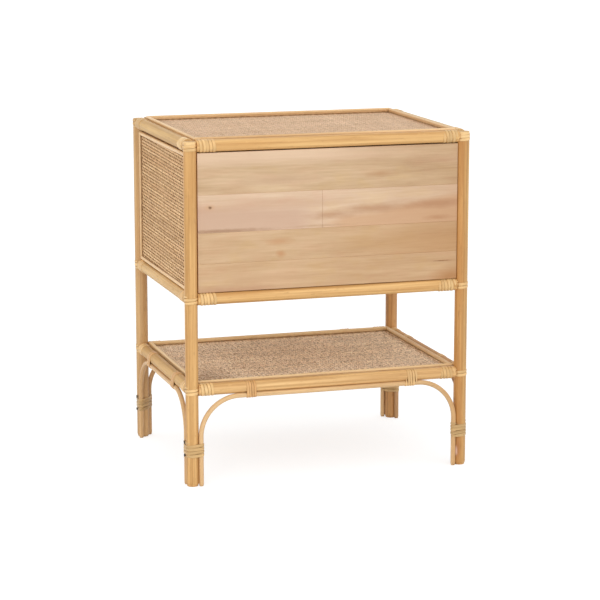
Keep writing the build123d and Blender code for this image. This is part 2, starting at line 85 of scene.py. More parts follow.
# ---------------------------------------------------------------- places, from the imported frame
def middle(node):
    low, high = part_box(node)
    return (low + high) / 2


def half_size(node):
    low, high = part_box(node)
    return (high - low) / 2


post_x = middle("post_rear_right").x
end_y = {end: middle(f"post_{end}_right").y for end in ends}
shift_y = (end_y["front"] + end_y["rear"]) / 2
post_y = (end_y["rear"] - end_y["front"]) / 2
post_r = half_size("post_rear_right").x
post_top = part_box("post_rear_right")[1].z
level_z = {name: middle(f"{name}_rail_rear").z for name in level_names}
rail_r = half_size("top_rail_rear").z
arch_r = half_size("arch_rear").y
arch_foot_x = half_size("arch_rear").x - arch_r
arch_foot_y = half_size("arch_left").y - arch_r
arch_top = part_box("arch_rear")[1].z - arch_r
arch_out = middle("arch_rear").y - end_y["rear"]    # arch poles outside the axes of the posts

# ---------------------------------------------------------------- camera
camera_place = Vector((1.3954, 4.4755, 1.2371))
camera_yaw = math.radians(17.413)
camera_pitch = math.radians(-11.044)
camera_lens = 136.0
camera_sensor = 36.0

camera_data = bpy.data.cameras.new("camera")
camera_data.lens = camera_lens
camera_data.sensor_width = camera_sensor
camera = bpy.data.objects.new("camera", camera_data)
bpy.context.collection.objects.link(camera)
look = Vector((
    -math.sin(camera_yaw) * math.cos(camera_pitch),
    -math.cos(camera_yaw) * math.cos(camera_pitch),
    math.sin(camera_pitch),
))
camera.location = camera_place
camera.rotation_euler = look.to_track_quat("-Z", "Y").to_euler()
bpy.context.scene.camera = camera


# ---------------------------------------------------------------- lamps and the light tent
def area_light(name, place, target, size, power):
    data = bpy.data.lights.new(name, "AREA")
    data.shape = "DISK"
    data.size = size
    data.energy = power
    light = bpy.data.objects.new(name, data)
    bpy.context.collection.objects.link(light)
    light.location = place
    light.rotation_euler = (Vector(target) - Vector(place)).to_track_quat("-Z", "Y").to_euler()


walls_light = 1.36              # of the light tent, near the floor and overhead
ceiling_light = 0.80
walls_end, ceiling_start = 0.28, 0.46       # heights in the tent's direction, from -1 to 1
front_share = 0.38              # how much brighter the tent is on the camera's side
front_direction = (0.12, 0.93, 0.34)
key_place = (2.0, 2.4, 1.9)
key_size = 1.1
key_power = 9
scene_middle = (0, 0, 0.36)
area_light("key", key_place, scene_middle, key_size, key_power)


# ---------------------------------------------------------------- material helpers
def srgb(red, green, blue):
    """A colour as a screen shows it, from 0 to 255, as linear values."""
    levels = [value / 255 for value in (red, green, blue)]
    return (*[v / 12.92 if v <= 0.04045 else ((v + 0.055) / 1.055) ** 2.4 for v in levels], 1)


def dimmed(colour, share):
    return (*[part * share for part in colour[:3]], 1)


class Graph:
    """A short way to write a material's or the world's nodes."""

    def __init__(self, name, owner=None):
        self.owner = owner or bpy.data.materials.new(name)
        self.owner.use_nodes = True
        self.tree = self.owner.node_tree
        self.tree.nodes.clear()

    def node(self, kind, sockets=None, **settings):
        made = self.tree.nodes.new(kind)
        for key, value in settings.items():
            setattr(made, key, value)
        for key, value in (sockets or {}).items():
            if isinstance(value, bpy.types.NodeSocket):
                self.tree.links.new(value, made.inputs[key])
            else:
                made.inputs[key].default_value = value
        return made

    def math(self, operation, first, second=0.0):
        return self.node("ShaderNodeMath", {0: first, 1: second}, operation=operation).outputs[0]

    def mix(self, factor, first, second, blend="MIX"):
        made = self.node("ShaderNodeMix", {0: factor, 6: first, 7: second},
                         data_type="RGBA", blend_type=blend)
        return made.outputs[2]

    def ranged(self, value, low, high, to_low=0.0, to_high=1.0):
        made = self.node("ShaderNodeMapRange", {0: value, 1: low, 2: high, 3: to_low, 4: to_high})
        return made.outputs[0]

    def scaled(self, vector, scale, offset=(0, 0, 0)):
        made = self.node("ShaderNodeMapping", {"Vector": vector, "Location": offset, "Scale": scale})
        return made.outputs[0]

    def noise(self, vector, scale=1.0, detail=3.0, roughness=0.5):
        made = self.node("ShaderNodeTexNoise", {
            "Vector": vector, "Scale": scale, "Detail": detail, "Roughness": roughness})
        return made.outputs[0]

    def place(self):
        """A point's place in the frame, in metres, with the part at rest."""
        return self.node("ShaderNodeTexCoord").outputs["Object"]

    def parts(self, vector):
        return self.node("ShaderNodeSeparateXYZ", {0: vector}).outputs

    def vector(self, first, second, third):
        return self.node("ShaderNodeCombineXYZ", {0: first, 1: second, 2: third}).outputs[0]

    def tinted(self, red, green, blue, colour):
        """A colour whose three parts are each multiplied by a number."""
        tint = self.node("ShaderNodeCombineColor", {0: red, 1: green, 2: blue}).outputs[0]
        return self.mix(1.0, colour, tint, "MULTIPLY")

    def facing(self, axis, low, high):
        """From 0 to 1, where a surface faces along an axis, either way."""
        normal = self.parts(self.node("ShaderNodeNewGeometry").outputs["Normal"])
        return self.ranged(self.math("ABSOLUTE", normal[axis]), low, high)

    def oval(self, *axes):
        """How far out a point lies in an oval, 1 being its rim; axes are (place, centre, reach)."""
        first, second = [self.math("DIVIDE", self.math("SUBTRACT", place, centre), reach)
                         for place, centre, reach in axes]
        return self.math("SQRT", self.math("ADD", self.math("MULTIPLY", first, first),
                                           self.math("MULTIPLY", second, second)))

    def seen(self):
        """1 where a ray comes from the camera, a reflection or glass, and 0 for other light."""
        paths = self.node("ShaderNodeLightPath").outputs
        return self.math("MAXIMUM", paths["Is Camera Ray"],
                         self.math("MAXIMUM", paths["Is Glossy Ray"], paths["Is Transmission Ray"]))

    def bump(self, height, strength, distance, normal=None):
        sockets = {"Height": height, "Strength": strength, "Distance": distance}
        if normal is not None:
            sockets["Normal"] = normal
        return self.node("ShaderNodeBump", sockets).outputs[0]

    def surface(self, colour, roughness, normal=None, **constants):
        sockets = {"Base Color": colour, "Roughness": roughness, **constants}
        if normal is not None:
            sockets["Normal"] = normal
        shader = self.node("ShaderNodeBsdfPrincipled", sockets)
        self.node("ShaderNodeOutputMaterial", {"Surface": shader.outputs[0]})
        return self.owner


def grain_along(axis):
    """The grain's coordinates for a straight CAD piece: first along axis, then across it."""
    order = {"x": (0, 1, 2), "y": (1, 0, 2), "z": (2, 0, 1)}[axis]

    def vector(graph):
        parts = graph.parts(graph.place())
        return graph.vector(*[parts[i] for i in order])

    return vector


def grain_round_frame(node, first, second):
    """The grain's coordinates for four mitred strips: each strip's own length comes first."""
    centre, half = middle(node), half_size(node)
    third = 3 - first - second

    def vector(graph):
        parts = graph.parts(graph.place())
        from_first = graph.math("ABSOLUTE", graph.math("SUBTRACT", parts[first], centre[first]))
        from_second = graph.math("ABSOLUTE", graph.math("SUBTRACT", parts[second], centre[second]))
        lead = graph.math("SUBTRACT", from_second, from_first)
        runs_first = graph.math("GREATER_THAN", lead, half[second] - half[first])
        one = graph.vector(parts[second], parts[first], parts[third])
        other = graph.vector(parts[first], parts[second], parts[third])
        made = graph.node("ShaderNodeMix", {0: runs_first, 4: one, 5: other}, data_type="VECTOR")
        return made.outputs[1]

    return vector


def grain_of_piece(graph):
    """The grain's coordinates that a built mesh carries."""
    return graph.node("ShaderNodeAttribute", attribute_name="grain").outputs["Vector"]


gap_shade_height = (0.0020, 0.0034)     # above a mat, where the painted shade along its frame fades
gap_shade_brown = srgb(128, 88, 48)


def inner_faces(node, first, second, mat):
    """Where a frame of strips faces its own middle, low down beside the mat that it holds: there a brown
    painted shade lines the gap.
    """
    centre = middle(node)
    out_axis = 3 - first - second
    out = 1 if centre[out_axis] > middle(mat)[out_axis] else -1
    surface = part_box(mat)[1 if out > 0 else 0][out_axis]

    def factor(graph):
        place = graph.place()
        parts = graph.parts(place)
        normal = graph.parts(graph.node("ShaderNodeNewGeometry").outputs["Normal"])
        facing = 0.0
        for axis in (first, second):
            away = graph.math("SIGN", graph.math("SUBTRACT", centre[axis], parts[axis]))
            facing = graph.math("MAXIMUM", facing, graph.math("MULTIPLY", away, normal[axis]))
        lift = graph.math("MULTIPLY", graph.math("SUBTRACT", parts[out_axis], surface), out)
        low = graph.math("MULTIPLY", graph.ranged(facing, 0.3, 0.7),
                         graph.ranged(lift, *gap_shade_height, 1, 0))
        broken = graph.ranged(graph.noise(place, 150, 1), 0.35, 0.6, 0.7, 1.0)
        return graph.math("MULTIPLY", low, broken)

    return factor


def rattan(name, grain, light, dark, warm, streaks=1.0, roughness=0.42, strips=False, end_grain=None,
           gloss=0.4, flecks=0.0, seam=0.75, shaded=None, flanks=None, marks=None):
    """Pole, bead or peel: lengthwise streaks, slow changes of tone, fine raised fibres.

    strips is true for flat strips, which carry their own tone and rims, seam is how dark those
    rims are, partly their cut edges and partly painted shade in the grooves between strips, flecks
    how strongly single crossings and wider patches of a mat differ in tone, shaded where a brown
    painted shade lines the gap beside a mat, flanks an X with the tints on its -X and +X sides, and
    marks what one piece alone has.
    """
    graph = Graph(name)
    vector = grain(graph)
    broad = graph.noise(graph.scaled(vector, (2.4, 150, 150)), 1, 3, 0.6)
    fibres = graph.noise(graph.scaled(vector, (9, 520, 520)), 1, 4, 0.6)
    slow = graph.noise(graph.scaled(vector, (5, 11, 11)), 1, 2)
    tone = graph.math("ADD", graph.math("MULTIPLY", broad, 0.72), graph.math("MULTIPLY", fibres, 0.28))
    spread = 0.115 / streaks
    colour = graph.mix(graph.ranged(tone, 0.5 - spread, 0.5 + spread), dark, light)
    colour = graph.mix(graph.ranged(slow, 0.42, 0.68, 0.0, 0.55), colour, warm)
    dashes = graph.noise(graph.scaled(vector, (38, 900, 900)), 1, 2, 0.5)
    pores = graph.ranged(dashes, 0.66, 0.78, 0.0, 0.35)
    colour = graph.mix(pores, colour, dimmed(dark, 0.55))
    if not strips:
        blemishes = graph.noise(graph.scaled(vector, (42, 170, 170), (3, 1, 2)), 1, 3, 0.6)
        colour = graph.mix(graph.ranged(blemishes, 0.60, 0.72, 0.0, 0.5), colour, dimmed(warm, 0.72))
        colour = graph.mix(graph.ranged(blemishes, 0.40, 0.28, 0.0, 0.35), colour, light)
    else:
        shade = graph.node("ShaderNodeAttribute", attribute_name="shade").outputs["Fac"]
        edge = graph.node("ShaderNodeAttribute", attribute_name="edge").outputs["Fac"]
        lift = graph.ranged(shade, 0, 1, 0.80, 1.14)
        colour = graph.tinted(lift, lift, lift, colour)
        # darker rims: partly the strips' cut edges, partly painted shade in the grooves between strips
        rim = graph.ranged(edge, 0.70, 1.0, 0.0, seam)
        colour = graph.mix(rim, colour, (dark[0] * 0.50, dark[1] * 0.38, dark[2] * 0.25, 1))
    if flecks:
        place = graph.place()
        spots = graph.noise(graph.scaled(place, (230, 105, 120)), 1, 2, 0.6)
        single = graph.math("MULTIPLY", graph.ranged(spots, 0.52, 0.64, 1, 1 - 1.6 * flecks),
                            graph.ranged(spots, 0.34, 0.50, 1 + flecks * 0.6, 1))
        patch = graph.ranged(graph.noise(place, 13, 3, 0.6), 0.36, 0.64,
                             1 - flecks * 0.2, 1 + flecks * 0.2)
        both = graph.math("MULTIPLY", single, patch)
        colour = graph.tinted(graph.math("POWER", both, 0.8), both, graph.math("POWER", both, 1.2), colour)
    # painted shade: brown along the gap between a bead and its mat
    if shaded is not None:
        colour = graph.mix(graph.math("MULTIPLY", shaded(graph), 0.85), colour, gap_shade_brown)
    if flanks is not None:
        middle_x, low_tint, high_tint = flanks
        wavy = graph.math("ADD", graph.math("SUBTRACT", grain_place(graph)[0], middle_x),
                          graph.math("MULTIPLY", graph.math("SUBTRACT", slow, 0.5), 0.010))
        tint = graph.mix(graph.ranged(wavy, -0.006, 0.006), low_tint, high_tint)
        colour = graph.mix(1.0, colour, tint, "MULTIPLY")
    if marks is not None:
        colour = marks(graph, colour)
    if end_grain is not None:
        facing = graph.facing(2, 0.75, 0.9)
        dots = graph.noise(graph.scaled(vector, (200, 1500, 1500)), 1, 1)
        cut = graph.mix(graph.ranged(dots, 0.35, 0.65), end_grain, dimmed(end_grain, 0.7))
        colour = graph.mix(facing, colour, cut)
    normal = graph.bump(fibres, 0.30, 0.0004)
    waves = graph.noise(graph.scaled(vector, (16, 40, 40)), 1, 2)
    normal = graph.bump(waves, 0.22, 0.0022, normal)
    rough = graph.ranged(fibres, 0.3, 0.7, roughness - 0.07, roughness + 0.10)
    if end_grain is not None:
        rough = graph.math("MAXIMUM", rough, graph.math("MULTIPLY", facing, 0.95))
    return graph.surface(colour, rough, normal, **{"Specular IOR Level": gloss})


def grain_place(graph):
    """A point's X and its height."""
    parts = graph.parts(graph.place())
    return parts[0], parts[2]


grain_bend = 0.010              # how far the figure of a board wanders, in metres


def planed_wood(name, pale, deep, streak, place, axis="x", marks=None, cut=None, falloff_shade=None, gloss=0.2):
    """A planed board: grain along its length, broad bands of figure, fine pores.

    place shifts the pattern, so that boards differ, marks adds what one board alone has, cut is
    the colour of its ends, and falloff_shade a darker tint that comes in towards -X: painted shade
    where the light falls off.
    """
    graph = Graph(name)
    vector = graph.scaled(grain_along(axis)(graph), (1, 1, 1), place)
    bend = graph.noise(graph.scaled(vector, (3.0, 6, 6)), 1, 2)
    bent = graph.node("ShaderNodeVectorMath", {
        0: vector, 1: graph.vector(0.0, 0.0, graph.math("MULTIPLY", bend, grain_bend)),
    }, operation="ADD").outputs[0]
    bands = graph.noise(graph.scaled(bent, (4.5, 10, 42)), 1, 4, 0.6)
    lines = graph.noise(graph.scaled(bent, (11, 40, 240)), 1, 4, 0.65)
    fibres = graph.noise(graph.scaled(vector, (14, 900, 900)), 1, 3, 0.6)
    tone = graph.math("ADD", graph.math("MULTIPLY", bands, 0.62), graph.math("MULTIPLY", lines, 0.38))
    colour = graph.mix(graph.ranged(tone, 0.36, 0.62), pale, deep)
    wide = graph.noise(graph.scaled(bent, (0.8, 5, 24), (3.7, 1.1, 0.4)), 1, 2)
    colour = graph.mix(graph.ranged(wide, 0.62, 0.78, 0.0, 0.8), colour, streak)
    pores = graph.ranged(fibres, 0.62, 0.80, 0.0, 0.30)
    colour = graph.mix(pores, colour, dimmed(deep, 0.6))
    clouds = graph.noise(graph.scaled(vector, (16, 30, 34), (7.1, 0, 2.3)), 1, 3, 0.6)
    colour = graph.mix(graph.ranged(clouds, 0.52, 0.66, 0.0, 0.5), colour, (1.0, 0.93, 0.93, 1), "MULTIPLY")
    colour = graph.mix(graph.ranged(clouds, 0.48, 0.34, 0.0, 0.5), colour, (1.0, 0.98, 0.86, 1), "MULTIPLY")
    if marks is not None:
        colour = marks(graph, colour, bend)
    # painted shade: the board darkens towards -X, where the light falls off
    if falloff_shade is not None:
        along = graph.math("ADD", grain_place(graph)[0], graph.math("MULTIPLY", bend, 0.12))
        colour = graph.mix(graph.ranged(along, 0.13, -0.20, 0.0, 0.8), colour, falloff_shade, "MULTIPLY")
    if cut is not None:
        colour = graph.mix(graph.facing("xyz".index(axis), 0.6, 0.9), colour, cut)
    normal = graph.bump(fibres, 0.22, 0.0003)
    rough = graph.ranged(lines, 0.3, 0.7, 0.49, 0.65)
    return graph.surface(colour, rough, normal, **{"Specular IOR Level": gloss})


def worn_metal(name, colour, roughness, metallic):
    """A small metal part, with fine scratches and dull patches."""
    graph = Graph(name)
    place = graph.place()
    patches = graph.noise(place, 700, 3)
    scratches = graph.noise(graph.scaled(place, (3000, 400, 3000)), 1, 2)
    shown = graph.mix(graph.ranged(patches, 0.4, 0.7), colour, dimmed(colour, 0.6))
    rough = graph.ranged(patches, 0.3, 0.7, roughness, roughness + 0.2)
    return graph.surface(shown, rough, graph.bump(scratches, 0.2, 0.0001), Metallic=metallic)


# ---------------------------------------------------------------- rods and strips as one mesh
class Strips:
    """Closed rods and strips gathered into one mesh, each with its own grain coordinates."""

    def __init__(self):
        self.points, self.grain, self.shade, self.edge = [], [], [], []
        self.quads, self.caps = [], []
        self.count = 0

    def add(self, rings, along, section, shade, edge):
        """rings is (sections, points, 3), turning left about the way it runs; along is (sections,);
        section is (sections, points, 2); shade and edge go from 0 to 1."""
        rows, around = rings.shape[:2]
        self.points.append(rings.reshape(-1, 3))
        grain = np.concatenate([np.broadcast_to(along[:, None, None], (rows, around, 1)),
                                np.broadcast_to(section, (rows, around, 2))], axis=2)
        self.grain.append(grain.reshape(-1, 3))
        self.shade.append(np.broadcast_to(shade, (rows, around)).reshape(-1))
        self.edge.append(np.broadcast_to(edge, (rows, around)).reshape(-1))
        first = self.count + np.arange(rows - 1)[:, None] * around + np.arange(around)[None, :]
        following = self.count + np.arange(rows - 1)[:, None] * around + (np.arange(around) + 1) % around
        quads = np.stack([first, following, following + around, first + around], axis=2)
        self.quads.append(quads.reshape(-1, 4))
        self.caps.append(self.count + np.arange(around)[::-1])
        self.caps.append(self.count + (rows - 1) * around + np.arange(around))
        self.count += rows * around

    def build(self, name, material, body, slot, *nodes):
        """Makes the piece, which rides on a body and stands in for CAD nodes."""
        quads = np.concatenate(self.quads)
        sizes = np.concatenate([np.full(len(quads), 4), [len(cap) for cap in self.caps]])
        corners = np.concatenate([quads.reshape(-1), *self.caps]).astype(np.int32)
        mesh = bpy.data.meshes.new(name)
        mesh.vertices.add(self.count)
        mesh.vertices.foreach_set("co", np.concatenate(self.points).astype(np.float32).reshape(-1))
        mesh.loops.add(len(corners))
        mesh.loops.foreach_set("vertex_index", corners)
        mesh.polygons.add(len(sizes))
        starts = np.concatenate([[0], np.cumsum(sizes)[:-1]]).astype(np.int32)
        mesh.polygons.foreach_set("loop_start", starts)
        mesh.polygons.foreach_set("use_smooth", np.arange(len(sizes)) < len(quads))
        mesh.update(calc_edges=True)
        grain = mesh.attributes.new("grain", "FLOAT_VECTOR", "POINT")
        grain.data.foreach_set("vector", np.concatenate(self.grain).astype(np.float32).reshape(-1))
        for label, values in (("shade", self.shade), ("edge", self.edge)):
            attribute = mesh.attributes.new(label, "FLOAT", "POINT")
            attribute.data.foreach_set("value", np.concatenate(values).astype(np.float32))
        mesh.validate()
        mesh.materials.append(material)
        piece = bpy.data.objects.new(name, mesh)
        bpy.context.collection.objects.link(piece)
        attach(piece, body)
        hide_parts(*nodes)


def wander(rng, count, per_unit, reach, samples):
    """A smooth random line: a few sines of unlike length."""
    total = np.zeros(len(samples))
    for _ in range(count):
        wave = per_unit * rng.uniform(0.4, 1.6)
        total += np.sin(2 * math.pi * (wave * samples + rng.random())) * rng.uniform(0.4, 1.0)
    return total * reach / count


# ---------------------------------------------------------------- wound peel
def circle_loop(radius):
    """Points and outward normals, evenly spaced once round a pole."""
    turn = np.linspace(0, 2 * math.pi, steps_per_turn, endpoint=False)
    normals = np.stack([np.cos(turn), np.sin(turn)], axis=1)
    return normals * radius, normals, 2 * math.pi * radius


def pulled_loop(poles, samples=720):
    """The line of a strip pulled tight round several poles, as points and outward normals."""
    turn = np.linspace(0, 2 * math.pi, samples, endpoint=False)
    outward = np.stack([np.cos(turn), np.sin(turn)], axis=1)
    centres = np.array([place for place, _ in poles])
    radii = np.array([radius for _, radius in poles])
    reach = outward @ centres.T + radii
    held = np.argmax(reach, axis=1)
    line = centres[held] + outward * radii[held][:, None]
    line = np.concatenate([line, line[:1]])
    steps = np.hypot(*np.diff(line, axis=0).T)
    travelled = np.concatenate([[0], np.cumsum(steps)])
    places = np.linspace(0, travelled[-1], steps_per_turn, endpoint=False)
    points = np.stack([np.interp(places, travelled, line[:, i]) for i in (0, 1)], axis=1)
    chord = np.roll(points, -1, axis=0) - np.roll(points, 1, axis=0)
    normals = np.stack([chord[:, 1], -chord[:, 0]], axis=1)
    return points, normals / np.hypot(*normals.T)[:, None], travelled[-1]


def wind(strips, place, loop, start, turns, rng, slack, breadth=peel_width, back=None, tone=0.5):
    """Winds one strip of peel round a loop; place is (origin, axis, across, up).

    back is the part of the loop, from 0 to 1, where the strip moves on to its next turn, and
    tone how pale the strip is.
    """
    origin, axis, across, up = [np.array(v, float) for v in place]
    points, normals, length = loop
    steps = (turns - 1) * steps_per_turn + steps_past_last
    index = np.arange(steps + 1)
    turn = index / steps_per_turn
    share = index / steps
    if back is not None:
        crossing = turn + crossing_haste * (np.sin(2 * math.pi * (turn - back))
                                            + math.sin(2 * math.pi * back))
        share = crossing / crossing[-1]
    middle_line = start + breadth / 2 + (turns - 1) * breadth * share
    middle_line = middle_line + wander(rng, 3, 0.9, slack, turn) * np.sin(math.pi * share) ** 0.3
    tuck = np.clip(np.minimum(index, steps - index) / (steps_per_turn * tuck_length), 0, 1)
    taper = tucked_share + (1 - tucked_share) * tuck
    half_width = 0.5 * breadth * (0.99 + wander(rng, 3, 0.8, 0.09, turn)) * taper
    rise = wrap_thickness * (0.93 + wander(rng, 2, 0.7, 0.07, turn)) * taper
    t = np.array([1.0, 0.86, 0.55, 0.18, -0.18, -0.55, -0.86, -1.0])
    crown = (1 - np.abs(t) ** 2.6) ** 0.5
    beside = middle_line[:, None] + t[None, :] * half_width[:, None]
    height = -strip_sink + crown[None, :] * (rise[:, None] + strip_sink)
    loop_points = points[index % steps_per_turn]
    loop_normals = normals[index % steps_per_turn]
    flat = loop_points[:, None, :] + loop_normals[:, None, :] * height[:, :, None]
    rings = origin + beside[:, :, None] * axis + flat[..., :1] * across + flat[..., 1:] * up
    shade = tone + wander(rng, 3, 0.5, 0.4, turn) + wander(rng, 2, 2.5, 0.35, turn)
    section = np.stack([t[None, :] * half_width[:, None], height], axis=2)
    strips.add(rings, turn * length + rng.random() * 3, section, shade[:, None], np.abs(t)[None, :])


def wind_from(strips, corner, axis, loop, start, turns, rng, slack, **how):
    """Winds round a pole that leaves corner along axis, with Z as the loop's second direction."""
    axis = Vector(axis)
    up = Vector((0, 0, 1)) if abs(axis.z) < 0.5 else Vector((0, 1, 0))
    across = up.cross(axis)
    wind(strips, (corner, axis, across, up), loop, start, turns, rng, slack, **how)


peel_light = srgb(244, 208, 150)
peel_look = (grain_of_piece, peel_light, srgb(216, 172, 112), srgb(230, 184, 122), 0.8, 0.34)
peel = rattan("peel", *peel_look, strips=True, seam=0.9)
# the ties of the +X side are more orange than those of the -X side
peel_tied = rattan("peel_tied", *peel_look, strips=True, seam=0.9,
                   flanks=(0.0, (1.04, 1.03, 1.04, 1), (0.97, 0.87, 0.81, 1)))
peel_old = rattan("peel_old", grain_of_piece, srgb(226, 190, 134), srgb(194, 156, 102),
                  srgb(200, 160, 104), 1.0, 0.42, strips=True, seam=0.5)

joints = [(x_sign, end, level) for x_sign in (1, -1) for end in ("rear", "front") for level in level_names]
wrap_rng = random.Random(11)
# how pale the post's wrap and the wraps of the rails along X and along Y are
wrap_tones = {(1, "front", "top"): (-0.1, 0.0, -0.1), (-1, "rear", "top"): (0.5, 0.1, 0.5)}
plain_tones = {1: (0.5, 0.5, 0.5), -1: (0.5, 0.3, 0.5)}
corner_strips = Strips()
for x_sign, end, level in joints:
    corner = Vector((x_sign * post_x, end_y[end], level_z[level]))
    low = -post_wrap_turns * peel_width / 2
    if level == "top":
        low = post_top - corner.z - post_wrap_turns * peel_width
    post_tone, x_tone, y_tone = wrap_tones.get((x_sign, end, level), plain_tones[x_sign])
    wind_from(corner_strips, corner, (0, 0, 1), circle_loop(post_r), low, post_wrap_turns, wrap_rng,
              post_slack, tone=post_tone)
    wind_from(corner_strips, corner, (-x_sign, 0, 0), circle_loop(rail_r), wrap_start,
              fewer_turns.get((x_sign, end, level), rail_wrap_turns[level]), wrap_rng, rail_slack,
              tone=x_tone)
    wind_from(corner_strips, corner, (0, -ends[end], 0), circle_loop(rail_r), wrap_start,
              rail_wrap_turns[level], wrap_rng, rail_slack, tone=y_tone)
corner_strips.build("corner_bindings_wound", peel, "carcass", "rattan_peel", "corner_bindings")

tie_z = level_z["shelf"]
arch_under = arch_top - tie_z
tie_half = arch_tie_width / 2
tie_peel = arch_tie_width / arch_tie_turns      # width of one turn
arch_tie_tone = 0.25
arch_strips = Strips()
for x_sign in (1, -1):
    for end, y_sign in ends.items():
        corner = Vector((x_sign * post_x, end_y[end], tie_z))
        reach_x = tie_reach + (rear_right_extra if (x_sign, y_sign) == (1, 1) else 0)
        lean = x_sign * y_sign * arch_out
        x_pair = pulled_loop((((0, 0), rail_r), ((-lean, arch_under), arch_r)))
        y_pair = pulled_loop((((0, 0), rail_r), ((lean, arch_under), arch_r)))
        inner = 0.0 if x_sign == y_sign else 0.5
        wind_from(arch_strips, corner, (-x_sign, 0, 0), x_pair, reach_x - tie_half, arch_tie_turns,
                  wrap_rng, arch_tie_slack, breadth=tie_peel, back=inner, tone=arch_tie_tone)
        wind_from(arch_strips, corner, (0, -y_sign, 0), y_pair, tie_reach - tie_half, arch_tie_turns,
                  wrap_rng, arch_tie_slack, breadth=tie_peel, back=0.5 - inner, tone=arch_tie_tone)
arch_strips.build("arch_bindings_wound", peel_tied, "carcass", "rattan_peel", "arch_bindings")

foot_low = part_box("foot_bindings")[0].z
foot_tones = {(1, "front"): -0.05, (-1, "rear"): 0.15}      # ties that have gone browner
foot_strips = Strips()
for x_sign in (1, -1):
    for end, y_sign in ends.items():
        corner = Vector((x_sign * post_x, end_y[end], foot_low))
        in_x, in_y = -x_sign * (post_x - arch_foot_x), -y_sign * (post_y - arch_foot_y)
        poles = (((0, 0), post_r), ((in_x, y_sign * arch_out), arch_r),
                 ((x_sign * arch_out, in_y), arch_r))
        wind(foot_strips, (corner, (0, 0, 1), (1, 0, 0), (0, 1, 0)), pulled_loop(poles), 0.0,
             foot_tie_turns, wrap_rng, foot_tie_slack, tone=foot_tones.get((x_sign, end), 0.5))
foot_strips.build("foot_bindings_wound", peel_old, "carcass", "rattan_peel", "foot_bindings")


# ---------------------------------------------------------------- bent arch poles
def bent_pole(strips, centre, along, half_span, rng, ring_points=16):
    """A slim pole bent into an upside-down U, a little uneven in thickness."""
    along = np.array(along, float)
    straight_up = np.linspace(0, arch_top - arch_bend_r, 24)
    bend = np.linspace(0, math.pi / 2, 20)[1:]
    run = np.linspace(-half_span + arch_bend_r, half_span - arch_bend_r, 40)[1:-1]
    left = [(-half_span, z) for z in straight_up]
    left += [(-half_span + arch_bend_r * (1 - math.cos(a)), arch_top - arch_bend_r * (1 - math.sin(a)))
             for a in bend]
    line = np.array(left + [(s, arch_top) for s in run] + [(-s, z) for s, z in reversed(left)])
    tangent = np.gradient(line, axis=0)
    tangent /= np.hypot(*tangent.T)[:, None]
    outward = np.stack([-tangent[:, 1], tangent[:, 0]], axis=1)
    steps = np.hypot(*np.diff(line, axis=0).T)
    travelled = np.concatenate([[0], np.cumsum(steps)])
    radius = arch_r * (0.985 + wander(rng, 3, 9, 0.02, travelled))
    ends_in = np.minimum(travelled, travelled[-1] - travelled)
    radius = np.where(ends_in < 1e-6, radius * 0.8, radius)
    turn = np.linspace(0, 2 * math.pi, ring_points, endpoint=False)
    side = np.cross(along, (0, 0, 1))
    across = outward[:, :1] * along + outward[:, 1:] * np.array((0, 0, 1))
    place = np.array(centre) + line[:, :1] * along + line[:, 1:] * np.array((0, 0, 1))
    rings = (place[:, None, :] + radius[:, None, None] * (
        np.cos(turn)[None, :, None] * across[:, None, :] + np.sin(turn)[None, :, None] * side))
    section = radius[:, None, None] * np.stack([np.cos(turn), np.sin(turn)], axis=1)[None]
    strips.add(rings, travelled + rng.random() * 4, section, 0.5, 0.0)


slim = rattan("slim_pole", grain_of_piece, srgb(230, 194, 144), srgb(198, 156, 106),
              srgb(210, 164, 112), 1.3, 0.44)
# painted shade: a darker copy of the slim pole, for the arch on the -X side, which stands in shadow
slim_shaded = rattan("slim_pole_shaded", grain_of_piece, srgb(212, 168, 120), srgb(166, 122, 80),
                    srgb(180, 134, 90), 1.3, 0.44)
arch_rng = random.Random(5)
for end in ends:
    rods = Strips()
    bent_pole(rods, (0, middle(f"arch_{end}").y, 0), (1, 0, 0), arch_foot_x, arch_rng)
    rods.build(f"arch_{end}_pole", slim, "carcass", "slim_pole", f"arch_{end}")
for side in sides:
    rods = Strips()
    bent_pole(rods, (middle(f"arch_{side}").x, shift_y, 0), (0, 1, 0), arch_foot_y, arch_rng)
    rods.build(f"arch_{side}_pole", slim if side == "right" else slim_shaded, "carcass", "slim_pole",
               f"arch_{side}")


# ---------------------------------------------------------------- woven mats
def strand_set(strips, origin, along, beside, out, length, breadth, half_width, half_thickness,
               rise, phase, skew, rng):
    """Parallel strands that swing over and under the crossing ones at every second pitch."""
    crossings = max(1, round(length / strand_pitch))
    pitch_along = length / crossings
    count = max(1, round(breadth / strand_pitch))
    pitch_beside = breadth / count
    travelled = np.linspace(0, length, crossings * steps_per_crossing + 1)
    t = np.array([1.0, 0.5, -0.5, -1.0, 0.0])
    crown = np.array([0.0, 0.85, 0.85, 0.0, -0.85])
    for strand in range(count):
        swing = rise * np.cos(math.pi * (travelled / pitch_along - 0.5 + strand + phase))
        sway = sum(wander(rng, 3, waves, push, travelled) for waves, push in strand_sways)
        width = half_width * (1 + wander(rng, 2, 9, 0.10, travelled)) * rng.uniform(0.93, 1.05)
        line = (strand + 0.5) * pitch_beside + sway + skew * (travelled - length / 2)
        side_step = np.clip(line[:, None] + t * width[:, None], 0, breadth)
        height = swing[:, None] + crown * half_thickness
        rings = (origin + travelled[:, None, None] * along + side_step[:, :, None] * beside
                 + height[:, :, None] * out)
        section = np.stack([np.broadcast_to(t * half_width, side_step.shape), height], axis=2)
        shade = rng.gauss(0.5, 0.18) + wander(rng, 3, 4, 0.3, travelled)
        shade = np.clip(shade + wander(rng, 3, 45, 0.35, travelled), 0, 1)
        strips.add(rings, travelled + rng.random() * 5, section, shade[:, None], np.abs(t)[None, :])


